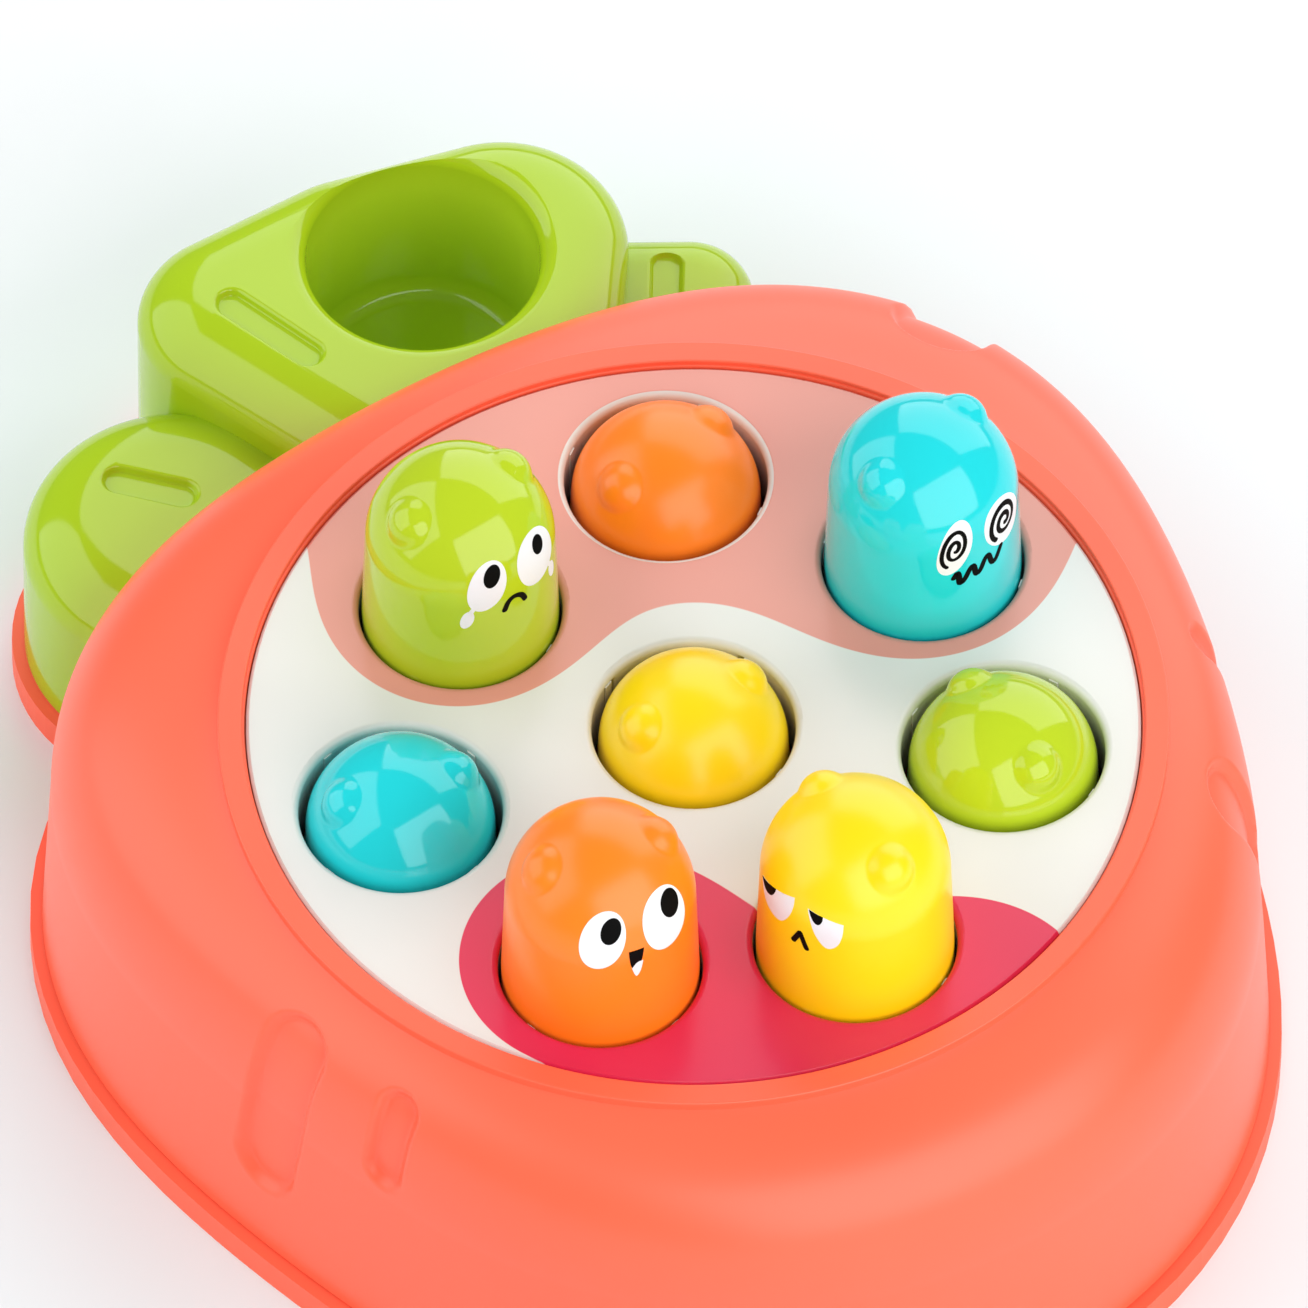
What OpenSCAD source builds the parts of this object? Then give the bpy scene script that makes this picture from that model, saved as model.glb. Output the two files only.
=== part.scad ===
// Whack-a-mole toy. Eight moles slide in a round play panel, set in a soft three-cornered body
// with a crown of leaves behind it. Four see-saw rockers join the moles in pairs, so that
// pressing one mole down lifts its partner. The toy stands on z = 0, with the middle mole on
// the z axis and the leaves towards +Y.

/* [Play panel] */
// Radius of the ring of holes
ring_r = 61.4; // [60:0.2:66]
// How far the back left hole sits inside the ring
back_left_in = 6.7; // [0:0.1:8]
// Radius of a hole
hole_r = 20.2; // [19.4:0.1:20.8]
// Panel left outside the holes
panel_margin = 6.8; // [6:0.1:12]
// Height of the panel's top face
panel_z = 82; // [79:0.5:95]
// Thickness of the panel
panel_t = 3; // [2.4:0.1:4]
// Rounding of the hole edges
hole_round = 1.5; // [0.5:0.1:2]
// Length of a guide tube, from the panel's top face
guide_len = 16; // [13:0.5:18]
// Wall of a guide tube
guide_wall = 1.7; // [1.4:0.1:2.2]
// Height of the ribs in a guide tube
rib_h = 0.3; // [0.2:0.05:0.5]
// Width of a rib
rib_w = 2; // [1.5:0.1:3]

/* [Moles] */
// Running gap between a mole and the ribs
mole_gap = 0.35; // [0.3:0.05:0.5]
// How much a cap narrows from the panel up to its dome
cap_taper = 0.7; // [0.3:0.1:1.5]
// Height of the dome's equator above the panel when the mole is up
dome_rise = 22.9; // [18:0.1:26]
// Travel of a mole
travel = 29; // [22:0.5:30]
// Wall of a cap
cap_wall = 1.8; // [1.4:0.1:2.4]
// Radius of an ear
ear_r = 5; // [4:0.1:6]
// How far an ear stands out of the dome
ear_out = 3; // [2:0.1:3.5]
// Angle of an ear above the dome's equator
ear_lift = 47; // [40:1:55]

/* [Body] */
// Height of the tray's flange
flange_h = 7; // [6:0.5:9]
// How far the flange stands out of the wall
flange_w = 2.5; // [1.5:0.1:4]
// Thickness of the tray's floor
floor_t = 3; // [2.4:0.1:4]
// Wall of the shell
shell_wall = 3; // [2.8:0.1:3.4]
// Mean distance from the rim to the wall
body_margin = 26.2; // [24:0.2:34]
// Shift of the plan towards the front
plan_shift = -2.5; // [-4:0.1:2]
// Oval swell of the plan
plan_oval = 2.6; // [0:0.1:4]
// Three-cornered swell of the plan
plan_corner = 6.5; // [3:0.1:8]
// Four-cornered swell of the plan
plan_square = -3.3; // [-4:0.1:0]
// Height at which the wall begins to roll over
wall_z = 48; // [42:0.5:52]
// How far the wall leans in by that height
wall_draft = 2; // [0.5:0.1:3]
// Mean pull of the shoulder above that height
shoulder_rise = 28; // [22:0.5:30]
// Extra pull of the shoulder at the three corners
shoulder_swell = 3; // [0:0.5:4]
// Run of the collar outside the rim
collar_run = 9; // [6:0.1:10]
// Drop of the collar outside the rim
collar_drop = 4.5; // [3:0.1:8]
// Width of the flat raised rim round the panel
rim_w = 5.6; // [4.5:0.1:8]
// Height of the rim above the panel
rim_rise = 1; // [0.6:0.1:2]
// Height of the rim's outer step
rim_step = 2; // [1:0.1:3]
// Gap between the panel and the rim
rim_gap = 0.3; // [0.2:0.05:0.5]
// Width of the seat under the panel
seat_w = 4; // [3:0.1:4.4]
// Thickness of the tray's upstand inside the shell
upstand_t = 2; // [1.6:0.1:3]
// Height of the upstand above the flange
upstand_h = 5; // [3:0.5:8]
// Gap between the upstand and the wall round it
upstand_gap = 0.3; // [0.2:0.05:0.5]
// Depth of the pockets in the flanks
pocket_depth = 1.8; // [1:0.1:2]

/* [Leaves] */
// Height of the middle leaf
leaf_z = 62; // [56:0.5:64]
// Height of the side leaves
side_leaf_z = 48; // [42:0.5:52]
// Drop of the rounding at the leaves' top edges
leaf_round = 11; // [8:0.5:13]
// Run of the rounding on the middle and left leaves
leaf_run = 14; // [9:0.5:16]
// Run of the rounding on the right leaf
right_leaf_run = 11; // [8:0.5:12]
// Wall of the leaf crown
leaf_wall = 2.6; // [2:0.1:3.2]
// Sideways place of the cup
cup_x = 23; // [18:0.5:28]
// Distance of the cup behind the body's wall
cup_back = 26.4; // [25:0.2:28]
// Radius of the cup
cup_r = 23.5; // [21:0.1:24.5]
// Depth of the cup
cup_depth = 44; // [36:0.5:46]
// Rounding of the cup's lip
cup_round = 2; // [1:0.1:3]
// Width of the grooves in the leaves
groove_w = 7; // [5:0.1:9]
// Depth of the grooves
groove_depth = 1.6; // [1:0.1:2]
// Gap between the leaves and the body
leaf_gap = 0.5; // [0.4:0.05:0.8]

/* [Mechanism] */
// Gap between a raised mole's stop flange and its guide tube
stop_gap = 0.3; // [0.2:0.05:0.6]
// Thickness of the stop flange
stop_t = 2; // [1.6:0.1:3]
// How far the stop flange reaches under the guide tube
stop_lip = 1; // [0.8:0.1:1.6]
// Height of the spigot that centres a cap
spigot_h = 4; // [3:0.5:8]
// Drop from the stop flange to the stud
stud_drop = 20; // [19:0.5:22]
// Radius of a rocker's studs
stud_r = 2.5; // [2:0.1:3]
// Play of a stud above and below in its slot
slot_play = 0.55; // [0.5:0.05:0.8]
// Play of a stud at the ends of its slot
slot_end_play = 0.6; // [0.5:0.1:1.5]
// Material round a slot
slot_land = 3; // [2.4:0.1:4]
// Thickness of a stem's cheeks
cheek_t = 3; // [2.4:0.1:4]
// Width of a rocker's bar
bar_w = 8; // [7:0.1:9]
// Height of a rocker's bar
bar_h = 7; // [6:0.1:8]
// Gap between a bar and the cheeks, and between a hub and the posts
side_gap = 0.4; // [0.3:0.05:0.8]
// Radius of a rocker's hub
hub_r = 5; // [4.4:0.1:5.4]
// Width of a rocker's hub
hub_w = 12; // [10:0.1:14]
// Radius of an axle
axle_r = 2; // [1.5:0.1:2.4]
// Running gap of a hub on its axle
axle_fit = 0.06; // [0.03:0.01:0.1]
// Gap of an axle in its posts
axle_seat = 0.03; // [0.01:0.01:0.05]
// Thickness of the axle posts
post_t = 4; // [3:0.1:5]

/* [Fasteners] */
// Radius of a screw
screw_r = 1.5; // [1.2:0.1:1.8]
// Radius of a screw's head
head_r = 2.9; // [2.6:0.1:3.2]
// Height of a screw's head
head_h = 2; // [1.5:0.1:2.6]
// Length of thread in a boss
grip = 10; // [8:0.5:12]
// Gap round a screw
screw_gap = 0.1; // [0.05:0.05:0.3]
// Radius of a screw boss
boss_r = 4; // [3.6:0.1:4.4]
// Distance of the case screws outside the ring of holes
case_screw_out = 16.6; // [16:0.1:17]
// Length of the panel's bosses
panel_boss = 29; // [22:0.5:34]
// Thickness of the web under a screw's joint
web_t = 8; // [5:0.5:10]
// Height of the leaf screws' posts above the tray's floor
leaf_post = 9; // [8:0.5:14]

/* [Hidden] */
$fn = 64;

coral = "tomato";
leaf_green = "yellowgreen";
inner_white = "ghostwhite";
steel = "silver";

// Moles: name, distance from the middle, place angle, face angle, colour, standing up
MOLES = [
    ["front", ring_r, -90, -177, "gold", true],
    ["right_front", ring_r, -36.6, -178, "yellowgreen", false],
    ["right", ring_r, 11.1, -74, "turquoise", true],
    ["back_right", ring_r, 63.9, -80, "darkorange", false],
    ["back_left", ring_r - back_left_in, 116.2, -87, "yellowgreen", true],
    ["left", ring_r, 168.5, -102, "turquoise", false],
    ["left_front", ring_r, -138.6, -101, "darkorange", true],
    ["centre", 0, 0, -91, "gold", false],
];
// Rockers: name, the mole that stands up, the mole that is down
ROCKERS = [["front", 0, 7], ["right", 2, 1], ["back", 4, 3], ["left", 6, 5]];
// Case screws: place angles, between the moles of the ring
CASE_SCREWS = [-114.3, -63.3, -12.7, 37.5, 142, -165];
// Turn of the first guide rib from the way a mole faces
rib_turn = 27;
ribs = 4;
// How far a cut runs past the face that it opens
over = 1;
// Room past the tip of a screw
tip_room = 2;

cap_r = hole_r - rib_h - mole_gap;
dome_r = cap_r - cap_taper;
cap_inner_r = dome_r - cap_wall;
cap_z = panel_z - guide_len - stop_gap;
cap_show = panel_z - cap_z;
equator = cap_show + dome_rise;
stop_r = hole_r + stop_lip;
guide_r = hole_r + guide_wall;
spigot_gap = 0.15;
spigot_t = 2;

cheek_in = bar_w / 2 + side_gap;
cheek_out = cheek_in + cheek_t;
stud_z = cap_z - stop_t - stud_drop;
pivot_z = stud_z - travel / 2;
post_in = hub_w / 2 + side_gap;
post_land = 2;
post_r = axle_r + post_land;

panel_r = ring_r + hole_r + panel_margin;
seat_z = panel_z - panel_t;
seat_wall_r = panel_r + rim_gap;
seat_r = seat_wall_r - seat_w;
rim_r = panel_r + rim_w;
rim_z = panel_z + rim_rise;
rim_edge = 0.3;
ledge_w = 0.5;
panel_edge = 0.6;
shell_edge = 0.8;
plan_steps = 96;
shoulder_steps = 10;
inner_steps = 5;
upstand_in = shell_wall + upstand_gap;

case_screw_r = ring_r + case_screw_out;
boss_z = seat_z - panel_boss;
leaf_post_z = floor_t + leaf_post;

// Plan of the body: distance of the wall from the z axis, at an angle from the front
function wall_r(a) = rim_r + body_margin + plan_shift * cos(a) + plan_oval * cos(2 * a)
    + plan_corner * cos(3 * a) + plan_square * cos(4 * a);
function plan_angle(i) = i * 360 / plan_steps;
function plan_point(r, a) = [r * sin(a), -r * cos(a)];
function body_plan(out) = [for (i = [0 : plan_steps - 1])
    plan_point(wall_r(plan_angle(i)) + out, plan_angle(i))];
back_y = wall_r(180);

// Shoulder: a curve from the top of the wall, s = 0, up to the foot of the rim, s = 1
function shoulder_ends(a) = [[wall_r(a) - wall_draft, wall_z],
    [wall_r(a) - wall_draft, wall_z + shoulder_rise + shoulder_swell * cos(3 * a)],
    [rim_r + collar_run, rim_z - rim_step - collar_drop],
    [rim_r, rim_z - rim_step]];
function bezier(p, s) = pow(1 - s, 3) * p[0] + 3 * pow(1 - s, 2) * s * p[1]
    + 3 * (1 - s) * s * s * p[2] + pow(s, 3) * p[3];
function bezier_way(p, s) = pow(1 - s, 2) * (p[1] - p[0]) + 2 * (1 - s) * s * (p[2] - p[1])
    + s * s * (p[3] - p[2]);
function outward(d) = [d[1], -d[0]] / norm(d);
function shoulder(a, s, out) = let (p = shoulder_ends(a))
    bezier(p, s) + out * outward(bezier_way(p, s));

// Section of the shell at an angle: up the outside, over the rim, and down the inside
function shell_section(a) = concat(
    [[wall_r(a) - shell_edge, flange_h], [wall_r(a), flange_h + shell_edge]],
    [for (i = [0 : shoulder_steps]) shoulder(a, i / shoulder_steps, 0)],
    [[rim_r, rim_z - rim_edge], [rim_r - rim_edge, rim_z]],
    [[seat_wall_r + ledge_w, rim_z], [seat_wall_r + ledge_w, panel_z]],
    [[seat_wall_r, panel_z], [seat_wall_r, seat_z], [seat_r, seat_z]],
    [[seat_r, seat_z - shell_wall], [seat_wall_r, seat_z - shell_wall]],
    [for (i = [1 : inner_steps]) shoulder(a, 1 - i / inner_steps, -shell_wall)],
    [[wall_r(a) - shell_wall, flange_h]]);
// Section of the space that the body takes up, for what is fitted against it
function body_section(a, gap) = concat(
    [[wall_r(a) + gap, flange_h - over], [wall_r(a) + gap, flange_h + shell_edge]],
    [for (i = [0 : shoulder_steps]) shoulder(a, i / shoulder_steps, gap)]);

// Pockets in the flanks: angle from the front, half width, and the ends of the pocket's run up
// the flank, where -1 is the foot of the wall, 0 its top and 1 the foot of the rim
POCKETS = [[279, 9.4, -0.5, 0.7], [295, 4.3, 0.03, 0.68], [124, 11, -0.4, 0.62], [74, 4.6, 0.03, 0.68],
    [53.5, 8, -0.3, 0.72]];
pocket_side = 0.8;
pocket_out = 2;
pocket_steps = 12;
pocket_end = 0.22;
wall_foot = flange_h + shell_edge;
function flank(a, t) = t < 0 ? [wall_r(a) - wall_draft * (1 + t), wall_z + t * (wall_z - wall_foot)]
    : shoulder(a, t, 0);
function flank_out(a, t) = t < 0 ? outward([-wall_draft, wall_z - wall_foot])
    : outward(bezier_way(shoulder_ends(a), t));
// Half width along a pocket, with a round end at either side; u runs from 0 to 1
function pocket_half(w, u) = w * sqrt(1 - pow(max(0, 1 - min(u, 1 - u) / pocket_end), 2));
function pocket_point(a, t, out, side) = let (p = flank(a, t) + out * flank_out(a, t))
    concat(plan_point(p[0], a) + side * [cos(a), sin(a)], p[1]);

// Leaves in plan, each the outline round a few circles: x, y, radius
MIDDLE_LEAF = [[-14, back_y + 36.5, 20], [12, back_y + 30, 26.5], [40, back_y + 24.5, 25.5],
    [11.8, back_y - 20.5, 22.5]];
LEFT_LEAF = [[-47.5, back_y + 4.5, 30.5], [-38, back_y - 24, 30]];
RIGHT_LEAF = [[71, back_y + 3, 13], [37, back_y + 23, 13], [38, back_y - 24, 30]];
// Leaves: the plan, the height, and the run of the top edge's rounding
LEAVES = [[MIDDLE_LEAF, leaf_z, leaf_run], [LEFT_LEAF, side_leaf_z, leaf_run],
    [RIGHT_LEAF, side_leaf_z, right_leaf_run]];
// Grooves: the two ends in plan, and the height of the leaf
GROOVES = [[[-16.5, back_y + 34.5], [-10, back_y + 16], leaf_z],
    [[-53, back_y + 17.5], [-44, back_y + 8], side_leaf_z],
    [[68, back_y + 7], [61, back_y - 4], side_leaf_z]];
// Leaf screws: the place in plan, and the height of the leaf
LEAF_SCREWS = [[[-54, back_y + 16], side_leaf_z], [[-14, back_y + 36], leaf_z],
    [[60, back_y + 11], side_leaf_z]];
leaf_steps = 60;
round_steps = 5;
leaf_floor_z = flange_h;
function reach(c, a) = c[0] * cos(a) + c[1] * sin(a) + c[2];
function farthest(circles, a) = let (r = [for (c = circles) reach(c, a)])
    circles[search(max(r), r)[0]];
function leaf_point(circles, a, out) = let (c = farthest(circles, a))
    [c[0] + (c[2] + out) * cos(a), c[1] + (c[2] + out) * sin(a)];
function leaf_plan(circles, out) = [for (i = [0 : leaf_steps - 1])
    leaf_point(circles, i * 360 / leaf_steps, out)];

// Solid of stacked rings of points, closed at both ends
module stacked(rings) {
    n = len(rings[0]);
    top = len(rings) - 1;
    walls = [for (k = [0 : top - 1], i = [0 : n - 1], t = [0, 1])
        let (a = k * n + i, b = k * n + (i + 1) % n)
        t == 0 ? [a, a + n, b] : [b, a + n, b + n]];
    ends = [[for (i = [0 : n - 1]) i], [for (i = [0 : n - 1]) top * n + n - 1 - i]];
    polyhedron([for (r = rings) each r], concat(walls, ends));
}

// Solid swept round the z axis through sections that change with the angle
module swept(sections) {
    n = len(sections);
    m = len(sections[0]);
    points = [for (i = [0 : n - 1], p = sections[i]) concat(plan_point(p[0], plan_angle(i)), p[1])];
    faces = [for (i = [0 : n - 1], k = [0 : m - 1], t = [0, 1])
        let (j = (i + 1) % n, l = (k + 1) % m, a = i * m + k, b = i * m + l, c = j * m + k, d = j * m + l)
        t == 0 ? [a, b, c] : [c, b, d]];
    polyhedron(points, faces);
}

// Cutter for one pocket: flat bottomed, with steep sides
module pocket(q) {
    rings = [for (k = [0 : pocket_steps])
        let (u = (k + 0.3) / (pocket_steps + 0.6), t = q[2] + u * (q[3] - q[2]), w = pocket_half(q[1], u))
        [pocket_point(q[0], t, pocket_out, -w), pocket_point(q[0], t, pocket_out, w),
            pocket_point(q[0], t, -pocket_depth, w - pocket_side),
            pocket_point(q[0], t, -pocket_depth, pocket_side - w)]];
    stacked(rings);
}

// Space that the body takes up
module body_space(gap) {
    rings = [for (k = [0 : shoulder_steps + 2]) [for (i = [0 : plan_steps - 1])
        let (p = body_section(plan_angle(i), gap)[k]) concat(plan_point(p[0], plan_angle(i)), p[1])]];
    stacked(rings);
}

module leaf_solid(circles, top, run) {
    rings = concat([[for (p = leaf_plan(circles, 0)) concat(p, leaf_floor_z)]],
        [for (k = [0 : round_steps]) let (t = 90 * k / round_steps)
            [for (p = leaf_plan(circles, -run * (1 - cos(t))))
                concat(p, top - leaf_round * (1 - sin(t)))]]);
    stacked(rings);
}

function roof_z(top) = top - leaf_round + leaf_wall;

module leaf_hollow(circles, top) {
    translate([0, 0, leaf_floor_z - over])
        linear_extrude(roof_z(top) - leaf_floor_z + over)
            difference() {
                polygon(leaf_plan(circles, -leaf_wall));
                polygon(body_plan(leaf_gap + leaf_wall));
            }
}

module groove(g) {
    way = g[1] - g[0];
    translate([g[0][0], g[0][1], g[2] - groove_depth])
        rotate(atan2(way[1], way[0])) {
            cylinder(r = groove_w / 2, h = groove_depth + over);
            translate([norm(way), 0, 0])
                cylinder(r = groove_w / 2, h = groove_depth + over);
            translate([0, -groove_w / 2, 0])
                cube([norm(way), groove_w, groove_depth + over]);
        }
}

// Screw pointing up, with the underside of its head at z = 0
module screw(length) {
    translate([0, 0, -head_h])
        cylinder(r = head_r, h = head_h);
    cylinder(r = screw_r, h = length);
}

// Bore for the thread of a screw, up from a joint at z = 0
module screw_bore() {
    translate([0, 0, -over])
        cylinder(r = screw_r + screw_gap, h = over + grip + tip_room);
}

function mole_place(m) = m[1] * [cos(m[2]), sin(m[2])];
function mole_drop(m) = m[5] ? 0 : -travel;
function rocker_of(i) = [for (r = ROCKERS) if (r[1] == i || r[2] == i) r][0];
function rocker_way(r) = mole_place(MOLES[r[1]]) - mole_place(MOLES[r[2]]);
function rocker_middle(r) = (mole_place(MOLES[r[1]]) + mole_place(MOLES[r[2]])) / 2;
function rocker_turn(r) = atan2(rocker_way(r)[1], rocker_way(r)[0]);
// Tilt and arm that keep each stud's sideways wander even about its mole's axis
function rocker_tilt(r) = 2 * atan(travel / 2 / norm(rocker_way(r)));
function rocker_arm(r) = travel / 2 / sin(rocker_tilt(r));
function slot_reach(r) = rocker_arm(r) - norm(rocker_way(r)) / 2 + slot_end_play;

module at_mole(i) {
    m = MOLES[i];
    translate(concat(mole_place(m), cap_z + mole_drop(m)))
        children();
}

module at_rocker(r) {
    translate(concat(rocker_middle(r), pivot_z))
        rotate(rocker_turn(r))
            children();
}

module mole_cap(i) {
    m = MOLES[i];
    color(m[4])
        at_mole(i)
            rotate(m[3])
                difference() {
                    union() {
                        difference() {
                            union() {
                                cylinder(r = cap_r, h = cap_show);
                                translate([0, 0, cap_show])
                                    cylinder(r1 = cap_r, r2 = dome_r, h = dome_rise);
                                translate([0, 0, equator]) {
                                    sphere(r = dome_r);
                                    for (side = [-1, 1])
                                        rotate([-side * (90 - ear_lift), 0, 0])
                                            translate([0, 0, dome_r + ear_out - ear_r])
                                                sphere(r = ear_r);
                                }
                            }
                            translate([0, 0, -over])
                                cylinder(r = cap_inner_r, h = equator + over);
                            translate([0, 0, equator])
                                sphere(r = cap_inner_r);
                        }
                        cylinder(r = boss_r, h = equator + cap_inner_r + cap_wall / 2);
                    }
                    screw_bore();
                }
}

module mole_stem(i) {
    r = rocker_of(i);
    slot_z = -stop_t - stud_drop;
    slot_h = stud_r + slot_play;
    cheek_reach = slot_reach(r) + slot_h + slot_land;
    cheek_h = stud_drop + slot_h + slot_land;
    color(inner_white)
        at_mole(i)
            rotate(rocker_turn(r))
                difference() {
                    union() {
                        translate([0, 0, -stop_t])
                            cylinder(r = stop_r, h = stop_t);
                        cylinder(r = cap_inner_r - spigot_gap, h = spigot_h);
                        for (side = [-1, 1])
                            translate([-cheek_reach, side < 0 ? -cheek_out : cheek_in, -stop_t - cheek_h])
                                cube([2 * cheek_reach, cheek_t, cheek_h + stop_t / 2]);
                    }
                    cylinder(r = cap_inner_r - spigot_gap - spigot_t, h = spigot_h + over);
                    translate([0, 0, -stop_t - over])
                        cylinder(r = screw_r + screw_gap, h = stop_t + 2 * over);
                    for (end = [-1, 1])
                        translate([end * slot_reach(r), 0, slot_z])
                            rotate([90, 0, 0])
                                cylinder(r = slot_h, h = 2 * (cheek_out + over), center = true);
                    translate([-slot_reach(r), -cheek_out - over, slot_z - slot_h])
                        cube([2 * slot_reach(r), 2 * (cheek_out + over), 2 * slot_h]);
                }
}

module mole_screw(i) {
    color(steel)
        at_mole(i)
            translate([0, 0, -stop_t])
                screw(stop_t + grip);
}

module rocker(r) {
    arm = rocker_arm(r);
    color(inner_white)
        at_rocker(r)
            rotate([0, -rocker_tilt(r), 0])
                difference() {
                    union() {
                        translate([-arm, -bar_w / 2, -bar_h / 2])
                            cube([2 * arm, bar_w, bar_h]);
                        rotate([90, 0, 0]) {
                            cylinder(r = hub_r, h = hub_w, center = true);
                            for (end = [-1, 1])
                                translate([end * arm, 0, 0]) {
                                    cylinder(r = bar_h / 2, h = bar_w, center = true);
                                    cylinder(r = stud_r, h = 2 * cheek_out, center = true);
                                }
                        }
                    }
                    rotate([90, 0, 0])
                        cylinder(r = axle_r + axle_fit, h = hub_w + 2 * over, center = true);
                }
}

module rocker_axles() {
    color(steel)
        for (r = ROCKERS)
            at_rocker(r)
                rotate([90, 0, 0])
                    cylinder(r = axle_r, h = 2 * (post_in + post_t), center = true);
}

module axle_posts() {
    for (r = ROCKERS)
        at_rocker(r)
            for (side = [-1, 1])
                translate([0, side * (post_in + post_t / 2), 0])
                    difference() {
                        union() {
                            rotate([90, 0, 0])
                                cylinder(r = post_r, h = post_t, center = true);
                            translate([-post_r, -post_t / 2, floor_t / 2 - pivot_z])
                                cube([2 * post_r, post_t, pivot_z - floor_t / 2]);
                        }
                        rotate([90, 0, 0])
                            cylinder(r = axle_r + axle_seat, h = post_t + 2 * over, center = true);
                    }
}

module case_screw_places() {
    for (a = CASE_SCREWS)
        rotate(a)
            translate([case_screw_r, 0, 0])
                children();
}

module leaf_screw_places() {
    for (p = LEAF_SCREWS)
        translate(p[0])
            children();
}

module leaf_bosses() {
    for (p = LEAF_SCREWS)
        translate(concat(p[0], leaf_post_z))
            cylinder(r = boss_r, h = roof_z(p[1]) + leaf_wall / 2 - leaf_post_z);
}

// Post on the tray's floor up to a joint, with a screw sunk in it from below
module screw_post(top) {
    translate([0, 0, floor_t / 2])
        cylinder(r = boss_r, h = top - floor_t / 2);
}

module screw_well(top) {
    translate([0, 0, -over])
        cylinder(r = head_r + screw_gap, h = top - web_t + over);
    cylinder(r = screw_r + screw_gap, h = top + over);
}

module tray_plan(out_body, out_leaf) {
    polygon(body_plan(out_body));
    for (leaf = LEAVES)
        polygon(leaf_plan(leaf[0], out_leaf));
}

module base_tray() {
    color(coral)
        difference() {
            union() {
                linear_extrude(floor_t)
                    tray_plan(flange_w, flange_w);
                linear_extrude(flange_h)
                    difference() {
                        tray_plan(flange_w, flange_w);
                        tray_plan(-upstand_in - upstand_t, -leaf_wall - upstand_gap);
                    }
                translate([0, 0, floor_t / 2])
                    linear_extrude(flange_h + upstand_h - floor_t / 2)
                        difference() {
                            polygon(body_plan(-upstand_in));
                            polygon(body_plan(-upstand_in - upstand_t));
                        }
                axle_posts();
                case_screw_places()
                    screw_post(boss_z);
                leaf_screw_places()
                    screw_post(leaf_post_z);
            }
            case_screw_places()
                screw_well(boss_z);
            leaf_screw_places()
                screw_well(leaf_post_z);
        }
}

module top_shell() {
    color(coral)
        difference() {
            swept([for (i = [0 : plan_steps - 1]) shell_section(plan_angle(i))]);
            for (q = POCKETS)
                pocket(q);
        }
}

module play_panel() {
    color("ivory")
        difference() {
            union() {
                translate([0, 0, seat_z])
                    cylinder(r = panel_r, h = panel_t - panel_edge);
                translate([0, 0, panel_z - panel_edge])
                    cylinder(r1 = panel_r, r2 = panel_r - panel_edge, h = panel_edge);
                for (m = MOLES)
                    translate(concat(mole_place(m), panel_z - guide_len))
                        cylinder(r = guide_r, h = guide_len - panel_t / 2);
                case_screw_places()
                    translate([0, 0, boss_z])
                        cylinder(r = boss_r, h = panel_boss + panel_t / 2);
            }
            for (m = MOLES)
                translate(concat(mole_place(m), 0))
                    guide_bore(m[3]);
            case_screw_places()
                translate([0, 0, boss_z])
                    screw_bore();
        }
}

// Bore of a guide tube, with a rounded mouth and ribs left standing
module guide_bore(face) {
    difference() {
        union() {
            translate([0, 0, panel_z - guide_len - over])
                cylinder(r = hole_r, h = guide_len + 2 * over);
            translate([0, 0, panel_z - hole_round])
                rotate_extrude()
                    difference() {
                        square([hole_r + hole_round, hole_round + over]);
                        translate([hole_r + hole_round, 0])
                            circle(r = hole_round);
                    }
        }
        for (k = [0 : ribs - 1])
            rotate(face + rib_turn + k * 360 / ribs)
                translate([hole_r - rib_h, -rib_w / 2, panel_z - guide_len - 2 * over])
                    cube([rib_h + over, rib_w, guide_len + 2 * over - hole_round]);
    }
}

module leaf_crown() {
    cup_y = back_y + cup_back;
    color(leaf_green)
        difference() {
            union() {
                difference() {
                    for (leaf = LEAVES)
                        leaf_solid(leaf[0], leaf[1], leaf[2]);
                    for (leaf = LEAVES)
                        leaf_hollow(leaf[0], leaf[1]);
                    body_space(leaf_gap);
                }
                translate([cup_x, cup_y, leaf_z - cup_depth - leaf_wall])
                    cylinder(r = cup_r + leaf_wall, h = cup_depth + leaf_wall - leaf_round / 2);
                leaf_bosses();
            }
            translate([cup_x, cup_y, leaf_z - cup_depth])
                cylinder(r = cup_r, h = cup_depth + over);
            translate([cup_x, cup_y, leaf_z - cup_round])
                rotate_extrude()
                    difference() {
                        square([cup_r + cup_round, cup_round + over]);
                        translate([cup_r + cup_round, 0])
                            circle(r = cup_round);
                    }
            for (g = GROOVES)
                groove(g);
            leaf_screw_places()
                translate([0, 0, leaf_post_z])
                    screw_bore();
        }
}

module case_screws() {
    color(steel)
        case_screw_places()
            translate([0, 0, boss_z - web_t])
                screw(web_t + grip);
}

module leaf_screws() {
    color(steel)
        leaf_screw_places()
            translate([0, 0, leaf_post_z - web_t])
                screw(web_t + grip);
}

base_tray();
top_shell();
play_panel();
leaf_crown();
case_screws();
leaf_screws();
rocker_axles();
for (r = ROCKERS)
    rocker(r);
for (i = [0 : len(MOLES) - 1])
    mole_cap(i);
for (i = [0 : len(MOLES) - 1])
    mole_stem(i);
for (i = [0 : len(MOLES) - 1])
    mole_screw(i);
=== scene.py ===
import math

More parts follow.
